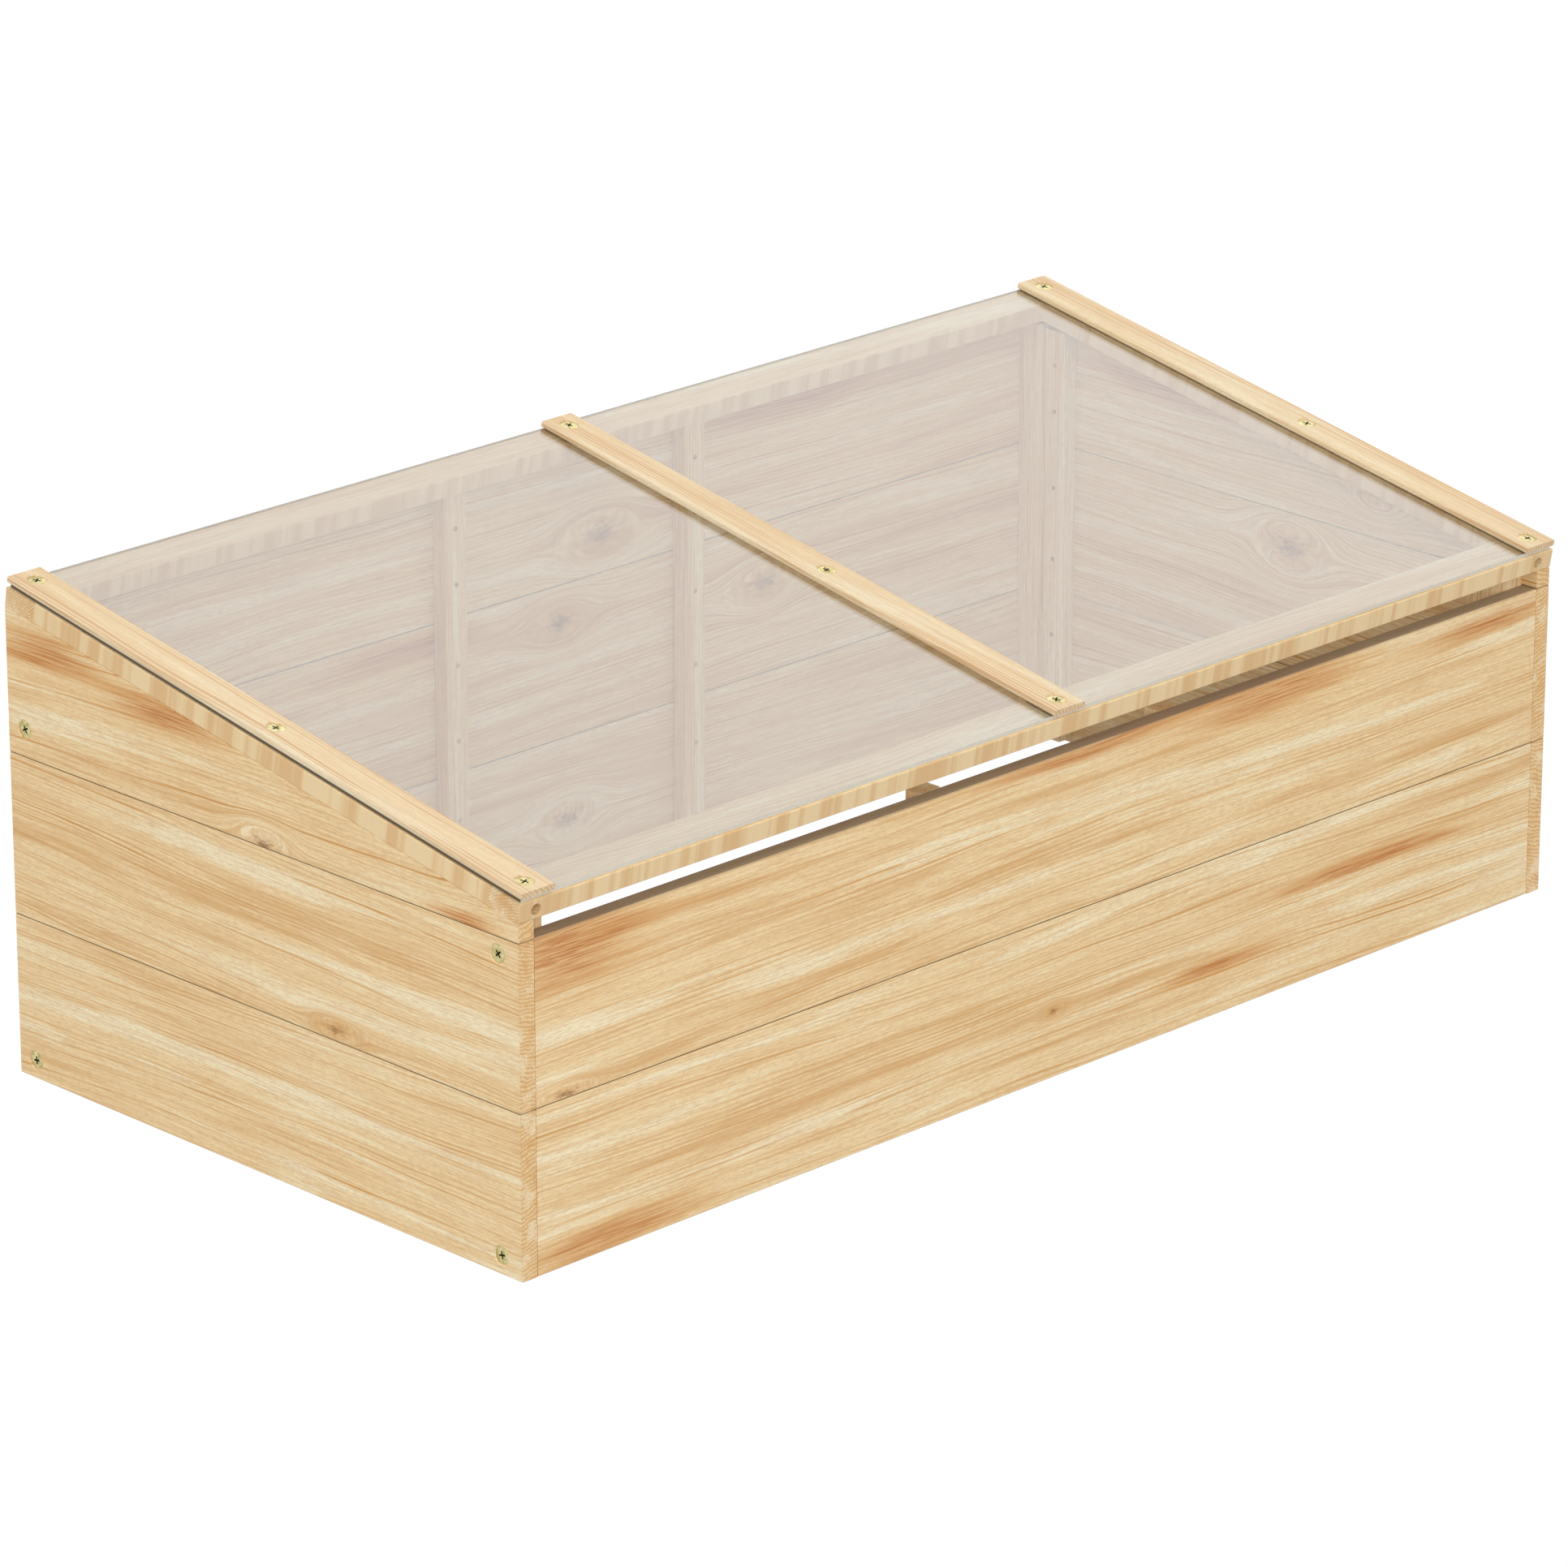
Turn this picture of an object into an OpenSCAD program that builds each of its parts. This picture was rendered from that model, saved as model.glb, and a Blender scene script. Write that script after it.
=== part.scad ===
// Wooden cold frame: a bottomless fir box on the ground, under a sloping lid of clear sheet
// that is hinged along the back wall.
// The origin is the middle of the footprint, on the ground. +X is right, +Y back, +Z up.

/* [Box] */
// Width of the box over its side walls
box_w = 1000; // [800:10:1400]
// Depth of the box from front to back
box_d = 500; // [400:10:800]
// Height of one full wall board
board_h = 116; // [95:1:160]
// Thickness of the side and front boards
board_t = 13.5; // [11:0.5:22]
// Thickness of the back boards
back_board_t = 10; // [8:0.5:22]
// Height of the air gap that the front wall leaves under the lid
vent_h = 13; // [10:0.5:40]
// Rise of the lid's underside from the front of the box to the back
lid_rise = 90; // [60:1:140]
// Flat planed off each long edge of a board
arris = 0.7; // [0.3:0.1:1.5]
// Gap at each end of a front or back board
end_gap = 0.4; // [0.1:0.1:1.5]

/* [Posts and wall battens] */
// Side of the square corner posts
post_s = 20; // [16:1:30]
// Width of the wall battens
batten_w = 20; // [14:1:30]
// Thickness of the wall battens
batten_t = 13.5; // [10:0.5:20]
// Distance of the front and back battens from the middle of the wall
batten_x = 116; // [60:1:240]
// Height of the feet of posts and battens above the ground
foot_gap = 4; // [0:1:15]
// Gap between the lid and the tops of posts and battens
under_lid_gap = 1; // [0.5:0.5:4]

/* [Lid] */
// Width of the lid's rails and stiles
rail_w = 29; // [26:1:45]
// Thickness of the lid's rails and stiles
rail_t = 14.5; // [13.5:0.5:25]
// Thickness of the clear sheet
sheet_t = 3; // [2:0.5:6]
// Distance of the sheet's edges from the outside of the lid
sheet_inset = 2; // [1:0.5:8]
// Width of the strips that hold the sheet
strip_w = 29; // [20:1:45]
// Thickness of the strips on top of the sheet
strip_t = 4.5; // [4.5:0.5:10]
// Offset of each top strip's middle screw towards the back, from left to right
mid_screw_shift = [-2, -20, -27]; // [-60:1:60]

/* [Screws and nails] */
// Diameter of the countersunk screws' shanks
screw_d = 5; // [4:0.5:6]
// Diameter of the countersunk heads
head_d = 12.5; // [9:0.5:13]
// Depth of a head below the face of the wood
head_sink = 0.8; // [0:0.1:1]
// Clearance around every shank and head
screw_fit = 0.1; // [0.05:0.05:0.3]
// Length of the corner screws
corner_screw_l = 30; // [22:1:32]
// Distance of a corner screw from the face of the wall that its post backs
corner_screw_in = 6; // [5:0.5:8]
// Height of the lower corner screws above the ground
low_screw_z = 13; // [10:1:20]
// Drop of the upper front screws below the top of the front wall
front_screw_drop = 12; // [8:1:20]
// Rise of the upper back screws above the middle board
back_screw_rise = 19.5; // [9:0.5:25]
// Depth of a strip screw in the wood under the sheet
strip_screw_bite = 4.2; // [3:0.1:4.4]
// Distance of a strip's end screws from the lid's front and back edges
strip_screw_in = 13; // [12:0.5:16]
// Diameter of the counterbored holes in the lid's rails
bore_d = 8; // [6.5:0.5:10]
// Depth of the counterbored holes
bore_depth = 8; // [5:0.5:9]
// Diameter of a rail screw's pan head
pan_d = 7; // [5.5:0.5:7.5]
// Diameter of a rail screw's shank
rail_screw_d = 4; // [3:0.5:4.5]
// Depth of a rail screw in the stile's end
rail_screw_bite = 25; // [15:1:40]
// Diameter of the panel nails
nail_d = 1.8; // [1.2:0.1:2.5]
// Diameter of the nails' heads
nail_head_d = 3.6; // [2.5:0.1:5]
// Depth of a nail in the wall board
nail_bite = 7; // [4:0.5:7.5]
// Distance of a nail from the edge of its board
nail_edge = 30; // [20:1:35]

/* [Hinges] */
// Distance of each hinge from the middle of the back
hinge_x = 300; // [170:10:350]
// Length of a hinge along its pin
hinge_l = 50; // [40:1:80]
// Reach of a leaf from the pin's axis
leaf_w = 13; // [11:0.5:13.5]
// Thickness of a leaf
leaf_t = 1.2; // [0.8:0.1:1.4]
// Diameter of the knuckles
knuckle_d = 5; // [4.5:0.1:6]
// Diameter of the hinge pin
pin_d = 2.6; // [2:0.1:3]
// Radial clearance of the pin in the knuckles
pin_fit = 0.05; // [0.02:0.01:0.1]
// Gap between neighbouring knuckles
knuckle_gap = 0.3; // [0.2:0.1:0.6]
// Gap between the knuckles and the faces that the leaves are screwed to
knuckle_off = 0.3; // [0.2:0.1:0.6]
// Diameter of the hinge screws' shanks
hinge_screw_d = 3; // [2:0.5:3]
// Diameter of the hinge screws' heads
hinge_head_d = 5.6; // [4.5:0.1:6]
// Depth of a hinge screw in the wood
hinge_screw_bite = 6.5; // [5:0.5:7]
// Distance of a hinge's screws from its middle
hinge_screw_x = 16; // [12:0.5:18]

/* [Hidden] */

$fn = 48;
far = 3000;
// how far a cut reaches past the face that it opens
over = 1;

wall_wood = "#dcbf8c";
batten_wood = "#d9b988";
lid_wood = "#e4c795";
strip_wood = "#ecd6ae";
zinc = "#cfcfa6";
hinge_steel = "#c9c6b4";

// heights and the lid's slope
front_h = 2 * board_h;
lid_front_z = front_h + vent_h;
lid_back_z = lid_front_z + lid_rise;
slope = atan(lid_rise / box_d);
lid_l = box_d / cos(slope);

// faces of the walls and of the pieces behind them
side_in_x = box_w / 2 - board_t;
front_in_y = -box_d / 2 + board_t;
back_in_y = box_d / 2 - back_board_t;
front_post_y = front_in_y + post_s / 2;
back_post_y = back_in_y - post_s / 2;
front_side_batten_y = front_in_y + post_s + batten_w / 2;
back_side_batten_y = back_in_y - post_s - batten_w / 2;

// the lid's stack, measured square to it from its underside
sheet_z = rail_t;
strip_z = rail_t + sheet_t;
lid_top_z = strip_z + strip_t;
stile_x = box_w / 2 - rail_w / 2;
strip_xs = [-(box_w - strip_w) / 2, 0, (box_w - strip_w) / 2];
strip_screw_l = strip_t - head_sink + sheet_t + strip_screw_bite;

// screw recess and points
recess_w = 1.8;
recess_l = 7;
recess_h = 2.2;
tip_share = 1.4;
nail_head_t = 1;
pan_h = 2.4;
pan_round = 1;

// the hinges' axis, equally far from the back wall and from the back rail
knuckle_r = knuckle_d / 2;
axis_off = knuckle_r + knuckle_off;
hinge_axis_y = box_d / 2 + axis_off;
hinge_axis_z = lid_back_z + axis_off * tan(slope / 2);
knuckle_l = (hinge_l - 2 * knuckle_gap) / 3;
leaf_clear = 1;
tongue_in = 0.2;
pin_head_d = 3.8;
pin_head_h = 0.8;

// height of the lid's underside at a distance y
function lid_z(y) = lid_front_z + (y + box_d / 2) * tan(slope);

// height at which a post or batten ends whose front face is at y
function top_under_lid(y) = lid_z(y) - under_lid_gap;

// heights of the nails in a board that runs from z0 to z1
function nail_zs(z0, z1) =
  z1 - z0 > 3 * nail_edge ? [z0 + nail_edge, z1 - nail_edge] : [(z0 + z1) / 2];

// heights of all nails in a wall whose top board ends at z1
function wall_nail_zs(z1) = concat(
  nail_zs(0, board_h),
  nail_zs(board_h, front_h),
  z1 > front_h ? nail_zs(front_h, z1) : []
);

// a rectangle with its corners planed off by one arris
module planed(w, h) {
  polygon([
    [-w / 2 + arris, -h / 2], [w / 2 - arris, -h / 2],
    [w / 2, -h / 2 + arris], [w / 2, h / 2 - arris],
    [w / 2 - arris, h / 2], [-w / 2 + arris, h / 2],
    [-w / 2, h / 2 - arris], [-w / 2, -h / 2 + arris]
  ]);
}

// bar along X, centred on X, standing on z = 0 with its front face at y = 0
module bar_x(l, t, h) {
  translate([-l / 2, t / 2, h / 2]) rotate([90, 0, 90]) linear_extrude(l) planed(t, h);
}

// bar along Y from y = 0, centred on X, standing on z = 0
module bar_y(l, w, h) {
  translate([0, l, h / 2]) rotate([90, 0, 0]) linear_extrude(l) planed(w, h);
}

// bar along Z from z0 to z1, centred on the point x, y
module bar_z(x, y, w, t, z0, z1) {
  translate([x, y, z0]) linear_extrude(z1 - z0) planed(w, t);
}

// outline of a fastener: its head's top at z = 0, its point at z = -l; grow is a clearance
module countersunk(d, hd, l, grow = 0, above = 0) {
  r = d / 2 + grow;
  hr = hd / 2 + grow;
  rotate_extrude() polygon([
    [0, above], [hr + above, above], [r, -(hr - r)],
    [r, -l + tip_share * d / 2 - grow], [0, -l - grow]
  ]);
}

// cross recess of a screw head whose top is at z = 0
module recess(size = 1) {
  for (a = [45, 135]) rotate([0, 0, a])
    translate([-recess_l * size / 2, -recess_w * size / 2, -recess_h * size])
      cube([recess_l * size, recess_w * size, recess_h * size + over]);
}

module wood_screw(l) {
  difference() {
    countersunk(screw_d, head_d, l);
    recess();
  }
}

module hinge_screw() {
  difference() {
    countersunk(hinge_screw_d, hinge_head_d, leaf_t + hinge_screw_bite);
    recess(hinge_head_d / head_d);
  }
}

// pan-head screw with its head's underside at z = 0
module pan_screw(grow = 0) {
  r = rail_screw_d / 2 + grow;
  l = rail_w - bore_depth + rail_screw_bite;
  rotate_extrude() polygon([
    [0, pan_h], [pan_d / 2 - pan_round, pan_h], [pan_d / 2, pan_h - pan_round], [pan_d / 2, 0], [r, 0],
    [r, -l + tip_share * rail_screw_d / 2 - grow], [0, -l - grow]
  ]);
}

// nail with its head's top at z = 0, through a piece of thickness t into a wall board
module nail(t, grow = 0) {
  r = nail_d / 2 + grow;
  hr = nail_head_d / 2 + grow;
  above = grow > 0 ? over : 0;
  l = t + nail_bite;
  rotate_extrude() polygon([
    [0, above], [hr, above], [hr, -nail_head_t - grow], [r, -nail_head_t - grow],
    [r, -l + nail_d - grow], [0, -l - grow]
  ]);
}

// the corner screws' places on one side wall: side is -1 for the left wall, 1 for the right
module at_corner_screws(side) {
  y0 = front_in_y + corner_screw_in;
  y1 = back_in_y - corner_screw_in;
  for (p = [[y0, low_screw_z], [y0, front_h - front_screw_drop],
            [y1, low_screw_z], [y1, front_h + back_screw_rise]])
    translate([side * (box_w / 2 - head_sink), p[0], p[1]]) rotate([0, side * 90, 0]) children();
}

module corner_screw_holes() {
  for (side = [-1, 1]) at_corner_screws(side)
    countersunk(screw_d, head_d, corner_screw_l, screw_fit, head_sink + screw_fit);
}

// nails of the front wall: in its posts and in its battens
module front_nails(grow = 0) {
  for (z = wall_nail_zs(front_h), side = [-1, 1]) {
    translate([side * (side_in_x - post_s / 2), front_in_y + post_s, z])
      rotate([-90, 0, 0]) nail(post_s, grow);
    translate([side * batten_x, front_in_y + batten_t, z])
      rotate([-90, 0, 0]) nail(batten_t, grow);
  }
}

// nails of the back wall
module back_nails(grow = 0) {
  for (z = wall_nail_zs(lid_z(back_in_y)), side = [-1, 1]) {
    translate([side * (side_in_x - post_s / 2), back_in_y - post_s, z])
      rotate([90, 0, 0]) nail(post_s, grow);
    translate([side * batten_x, back_in_y - batten_t, z])
      rotate([90, 0, 0]) nail(batten_t, grow);
  }
}

// nails of one side wall
module side_nails(side, grow = 0) {
  for (y = [front_side_batten_y, back_side_batten_y], z = wall_nail_zs(lid_z(y)))
    translate([side * (side_in_x - batten_t), y, z]) rotate([0, -side * 90, 0]) nail(batten_t, grow);
}

// a side wall's full board, number n from the ground
module side_board(side, n) {
  color(wall_wood) difference() {
    translate([side * (side_in_x + board_t / 2), -box_d / 2, n * board_h]) bar_y(box_d, board_t, board_h);
    corner_screw_holes();
    side_nails(side, screw_fit);
  }
}

// the side wall's top board, sawn to the slope of the lid
module side_top_board(side) {
  x = side * (side_in_x + board_t / 2);
  color(wall_wood) difference() {
    intersection() {
      translate([x, -box_d / 2, front_h]) bar_y(box_d, board_t, far);
      translate([x, -box_d / 2, lid_front_z]) rotate([slope, 0, 0])
        translate([0, -box_d, -far]) bar_y(3 * box_d, board_t, far);
    }
    corner_screw_holes();
    side_nails(side, screw_fit);
  }
}

// a front or back board between the side walls
module cross_board(y, t, z0, z1) {
  color(wall_wood) difference() {
    translate([0, y, z0]) bar_x(2 * (side_in_x - end_gap), t, z1 - z0);
    front_nails(screw_fit);
    back_nails(screw_fit);
    hinge_screw_holes();
  }
}

module post(side, y, z1) {
  color(batten_wood) difference() {
    bar_z(side * (side_in_x - post_s / 2), y, post_s, post_s, foot_gap, z1);
    corner_screw_holes();
    front_nails(screw_fit);
    back_nails(screw_fit);
  }
}

module front_batten(side) {
  color(batten_wood) difference() {
    bar_z(side * batten_x, front_in_y + batten_t / 2, batten_w, batten_t, foot_gap, front_h);
    front_nails(screw_fit);
  }
}

module back_batten(side) {
  y = back_in_y - batten_t;
  color(batten_wood) difference() {
    bar_z(side * batten_x, y + batten_t / 2, batten_w, batten_t, foot_gap, top_under_lid(y));
    back_nails(screw_fit);
  }
}

module side_batten(side, y) {
  z1 = top_under_lid(y - batten_w / 2);
  color(batten_wood) difference() {
    bar_z(side * (side_in_x - batten_t / 2), y, batten_t, batten_w, foot_gap, z1);
    side_nails(side, screw_fit);
  }
}

// puts its children, drawn flat from the lid's front lower edge, at the lid's slope
module on_lid() {
  translate([0, -box_d / 2, lid_front_z]) rotate([slope, 0, 0]) children();
}

// places of the screws in top strip number n, on the lid drawn flat
module at_strip_screws(n) {
  x = strip_xs[n];
  for (y = [strip_screw_in, lid_l / 2 + mid_screw_shift[n], lid_l - strip_screw_in])
    translate([x, y, lid_top_z - head_sink]) children();
}

module strip_screw_holes() {
  for (n = [0 : 2]) at_strip_screws(n)
    countersunk(screw_d, head_d, strip_screw_l, screw_fit, head_sink + screw_fit);
}

// places of the screws that hold a rail to the stiles: end is 0 in front, 1 at the back
module at_rail_screws(end) {
  for (side = [-1, 1])
    translate([side * stile_x, end * lid_l, rail_t / 2]) rotate([0, 0, end * 180])
      translate([0, bore_depth, 0]) rotate([90, 0, 0]) children();
}

module rail_screw_holes() {
  for (end = [0, 1]) at_rail_screws(end) {
    cylinder(d = bore_d, h = bore_depth + over);
    pan_screw(screw_fit);
  }
}

module lid_rail(end) {
  y = end == 0 ? 0 : lid_l - rail_w;
  color(lid_wood) on_lid() difference() {
    translate([0, y, 0]) bar_x(box_w, rail_w, rail_t);
    rail_screw_holes();
    strip_screw_holes();
    flat_hinge_screw_holes();
  }
}

module lid_stile(side) {
  color(lid_wood) on_lid() difference() {
    translate([side * stile_x, rail_w, 0]) bar_y(lid_l - 2 * rail_w, rail_w, rail_t);
    rail_screw_holes();
    strip_screw_holes();
  }
}

module lid_strip(n) {
  color(strip_wood) on_lid() difference() {
    translate([strip_xs[n], 0, strip_z]) bar_y(lid_l, strip_w, strip_t);
    strip_screw_holes();
  }
}

// hinge knuckles of one leaf around the axis, along X: part is "box" or "lid"
module knuckles(part) {
  places = part == "box" ? [-hinge_l / 2, hinge_l / 2 - knuckle_l] : [-knuckle_l / 2];
  for (x = places) translate([x, 0, 0]) rotate([0, 90, 0]) cylinder(r = knuckle_r, h = knuckle_l);
}

// room for the other leaf's knuckles; each tongue of a plate is a little narrower than its knuckle
module knuckle_room(part) {
  inner = knuckle_l / 2 - tongue_in;
  outer = knuckle_l / 2 + knuckle_gap + tongue_in;
  spans = part == "box" ? [[-outer, outer]] : [[-hinge_l, -inner], [inner, hinge_l]];
  for (s = spans)
    translate([s[0], -2 * axis_off, -axis_off]) cube([s[1] - s[0], 4 * axis_off, 2 * axis_off]);
}

// one leaf around the axis, its plate hanging down behind the axis
module leaf(part) {
  color(hinge_steel) difference() {
    union() {
      knuckles(part);
      difference() {
        translate([-hinge_l / 2, -axis_off, -leaf_w]) cube([hinge_l, leaf_t, leaf_w - leaf_clear]);
        knuckle_room(part);
      }
    }
    translate([-hinge_l, 0, 0]) rotate([0, 90, 0]) cylinder(r = pin_d / 2 + pin_fit, h = 2 * hinge_l);
    leaf_screw_holes();
  }
}

// places of the two screws of a leaf that hangs down
module at_leaf_screws() {
  z = -(axis_off + leaf_w) / 2;
  for (x = [-hinge_screw_x, hinge_screw_x])
    translate([x, leaf_t - axis_off, z]) rotate([-90, 0, 0]) children();
}

module leaf_screw_holes() {
  at_leaf_screws() countersunk(hinge_screw_d, hinge_head_d, leaf_t + hinge_screw_bite, screw_fit, over);
}

// puts a leaf that hangs down from the axis on the back wall
module on_back_wall(side) {
  translate([side * hinge_x, hinge_axis_y, hinge_axis_z]) children();
}

// puts a leaf that hangs down from the axis on the back rail of the lid drawn flat
module on_back_rail(side) {
  translate([side * hinge_x, lid_l + axis_off, -axis_off * tan(slope / 2)]) rotate([0, 180, 0]) children();
}

module hinge_screw_holes() {
  for (side = [-1, 1]) on_back_wall(side) leaf_screw_holes();
}

module flat_hinge_screw_holes() {
  for (side = [-1, 1]) on_back_rail(side) leaf_screw_holes();
}

module hinge_pin(side) {
  color(hinge_steel) on_back_wall(side) rotate([0, 90, 0]) {
    translate([0, 0, -hinge_l / 2 - 2 * screw_fit]) cylinder(d = pin_d, h = hinge_l + 4 * screw_fit);
    for (end = [0, 1]) mirror([0, 0, end])
      translate([0, 0, hinge_l / 2 + screw_fit]) cylinder(d = pin_head_d, h = pin_head_h);
  }
}

module left_board_bottom() { side_board(-1, 0); }
module left_board_middle() { side_board(-1, 1); }
module left_board_top() { side_top_board(-1); }
module right_board_bottom() { side_board(1, 0); }
module right_board_middle() { side_board(1, 1); }
module right_board_top() { side_top_board(1); }
module front_board_bottom() { cross_board(-box_d / 2, board_t, 0, board_h); }
module front_board_top() { cross_board(-box_d / 2, board_t, board_h, front_h); }
module back_board_bottom() { cross_board(back_in_y, back_board_t, 0, board_h); }
module back_board_middle() { cross_board(back_in_y, back_board_t, board_h, front_h); }
module back_board_top() { cross_board(back_in_y, back_board_t, front_h, lid_z(back_in_y)); }
module front_left_post() { post(-1, front_post_y, top_under_lid(front_in_y)); }
module front_right_post() { post(1, front_post_y, top_under_lid(front_in_y)); }
module back_left_post() { post(-1, back_post_y, top_under_lid(back_in_y - post_s)); }
module back_right_post() { post(1, back_post_y, top_under_lid(back_in_y - post_s)); }
module front_batten_left() { front_batten(-1); }
module front_batten_right() { front_batten(1); }
module back_batten_left() { back_batten(-1); }
module back_batten_right() { back_batten(1); }
module left_batten_front() { side_batten(-1, front_side_batten_y); }
module left_batten_back() { side_batten(-1, back_side_batten_y); }
module right_batten_front() { side_batten(1, front_side_batten_y); }
module right_batten_back() { side_batten(1, back_side_batten_y); }
module left_corner_screws() { color(zinc) at_corner_screws(-1) wood_screw(corner_screw_l); }
module right_corner_screws() { color(zinc) at_corner_screws(1) wood_screw(corner_screw_l); }
module front_wall_nails() { color(zinc) front_nails(); }
module back_wall_nails() { color(zinc) back_nails(); }
module left_wall_nails() { color(zinc) side_nails(-1); }
module right_wall_nails() { color(zinc) side_nails(1); }
module lid_front_rail() { lid_rail(0); }
module lid_back_rail() { lid_rail(1); }
module lid_left_stile() { lid_stile(-1); }
module lid_right_stile() { lid_stile(1); }

module lid_sheet() {
  color("aliceblue", 0.35) on_lid() difference() {
    translate([-box_w / 2 + sheet_inset, sheet_inset, sheet_z])
      cube([box_w - 2 * sheet_inset, lid_l - 2 * sheet_inset, sheet_t]);
    strip_screw_holes();
  }
}

module lid_strip_left() { lid_strip(0); }
module lid_strip_middle() { lid_strip(1); }
module lid_strip_right() { lid_strip(2); }

module lid_left_strip_screws() { color(zinc) on_lid() at_strip_screws(0) wood_screw(strip_screw_l); }
module lid_middle_strip_screws() { color(zinc) on_lid() at_strip_screws(1) wood_screw(strip_screw_l); }
module lid_right_strip_screws() { color(zinc) on_lid() at_strip_screws(2) wood_screw(strip_screw_l); }
module lid_front_rail_screws() { color(zinc) on_lid() at_rail_screws(0) pan_screw(); }
module lid_back_rail_screws() { color(zinc) on_lid() at_rail_screws(1) pan_screw(); }
module hinge_left_box_leaf() { on_back_wall(-1) leaf("box"); }
module hinge_left_lid_leaf() { on_lid() on_back_rail(-1) leaf("lid"); }
module hinge_left_pin() { hinge_pin(-1); }
module hinge_right_box_leaf() { on_back_wall(1) leaf("box"); }
module hinge_right_lid_leaf() { on_lid() on_back_rail(1) leaf("lid"); }
module hinge_right_pin() { hinge_pin(1); }

module hinge_box_screws() {
  color(zinc) for (side = [-1, 1]) on_back_wall(side) at_leaf_screws() hinge_screw();
}

module hinge_lid_screws() {
  color(zinc) for (side = [-1, 1]) on_lid() on_back_rail(side) at_leaf_screws() hinge_screw();
}

left_board_bottom();
left_board_middle();
left_board_top();
right_board_bottom();
right_board_middle();
right_board_top();
front_board_bottom();
front_board_top();
back_board_bottom();
back_board_middle();
back_board_top();
front_left_post();
front_right_post();
back_left_post();
back_right_post();
front_batten_left();
front_batten_right();
back_batten_left();
back_batten_right();
left_batten_front();
left_batten_back();
right_batten_front();
right_batten_back();
left_corner_screws();
right_corner_screws();
front_wall_nails();
back_wall_nails();
left_wall_nails();
right_wall_nails();
lid_front_rail();
lid_back_rail();
lid_left_stile();
lid_right_stile();
lid_sheet();
lid_strip_left();
lid_strip_middle();
lid_strip_right();
lid_left_strip_screws();
lid_middle_strip_screws();
lid_right_strip_screws();
lid_front_rail_screws();
lid_back_rail_screws();
hinge_left_box_leaf();
hinge_left_lid_leaf();
hinge_left_pin();
hinge_right_box_leaf();
hinge_right_lid_leaf();
hinge_right_pin();
hinge_box_screws();
hinge_lid_screws();
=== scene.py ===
"""A wooden cold frame: fir box, clear sloping lid, zinc plated screws and hinges."""

import math

import bpy
from bpy.props import FloatProperty, FloatVectorProperty, PointerProperty
from mathutils import Matrix, Vector


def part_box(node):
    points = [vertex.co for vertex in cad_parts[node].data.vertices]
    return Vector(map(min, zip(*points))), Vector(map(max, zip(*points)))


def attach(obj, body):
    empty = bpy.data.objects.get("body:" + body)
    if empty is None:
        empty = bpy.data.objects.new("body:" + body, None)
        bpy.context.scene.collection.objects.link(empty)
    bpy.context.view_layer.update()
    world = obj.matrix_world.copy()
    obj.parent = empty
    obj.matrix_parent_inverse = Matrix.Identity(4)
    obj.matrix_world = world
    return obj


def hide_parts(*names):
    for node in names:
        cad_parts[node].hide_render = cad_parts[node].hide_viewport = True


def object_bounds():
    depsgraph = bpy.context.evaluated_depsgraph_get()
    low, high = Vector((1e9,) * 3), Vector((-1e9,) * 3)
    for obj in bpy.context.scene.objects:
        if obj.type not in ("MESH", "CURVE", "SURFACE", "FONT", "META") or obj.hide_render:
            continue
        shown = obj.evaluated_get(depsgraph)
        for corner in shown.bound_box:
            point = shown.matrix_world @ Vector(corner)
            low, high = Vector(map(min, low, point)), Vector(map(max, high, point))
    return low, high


bl_info = {
    "name": "Wooden Cold Frame",
    "version": (1, 0, 0),
    "blender": (4, 5, 0),
    "location": "3D View > Sidebar > Cold Frame",
    "description": "Finishes the cold frame's boards, lid, screws and hinges",
    "category": "Object",
}

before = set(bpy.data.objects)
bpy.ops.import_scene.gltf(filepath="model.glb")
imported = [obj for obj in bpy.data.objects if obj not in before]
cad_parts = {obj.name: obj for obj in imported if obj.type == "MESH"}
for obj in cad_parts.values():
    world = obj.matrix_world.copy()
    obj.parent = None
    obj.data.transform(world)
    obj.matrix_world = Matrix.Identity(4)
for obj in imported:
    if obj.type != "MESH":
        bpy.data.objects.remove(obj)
CAD_LOW, CAD_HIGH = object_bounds()

MM = 0.001
SHANK_RADIUS = 2.5 * MM
SCREWS_APART = 60 * MM
AIR_FILM = 0.08 * MM

# sizes of the wood's patterns in millimetres: along, across and through a piece
WAVE_SIZE = (450, 90, 90)
WOBBLE_SIZE = (250, 8, 8)
FADE_SIZE = (180, 20, 20)
STREAK_SIZE = (420, 17, 17)
BAR_SIZE = (13, 900, 900)
LID_UP = max(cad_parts["lid_sheet"].data.polygons, key=lambda face: face.area).normal.copy()
LID_UP *= math.copysign(1, LID_UP.z)
LID_PITCH = math.atan2(-LID_UP.y, LID_UP.z)


def linear(hex_colour):
    """The linear RGB of an sRGB hex colour."""
    parts = [int(hex_colour[i:i + 2], 16) / 255 for i in (1, 3, 5)]
    return tuple(c / 12.92 if c <= 0.04045 else ((c + 0.055) / 1.055) ** 2.4 for c in parts)


def repeats(size):
    """How often a pattern of a size in millimetres repeats in a metre, on each axis."""
    return tuple(1 / (length * MM) for length in size)


def add(tree, kind, feeds=None, **settings):
    """Adds a node, sets its settings, and links or sets its inputs."""
    node = tree.nodes.new(kind)
    for key, value in settings.items():
        setattr(node, key, value)
    for key, value in (feeds or {}).items():
        if isinstance(value, bpy.types.NodeSocket):
            tree.links.new(value, node.inputs[key])
        else:
            node.inputs[key].default_value = value
    return node


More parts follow.
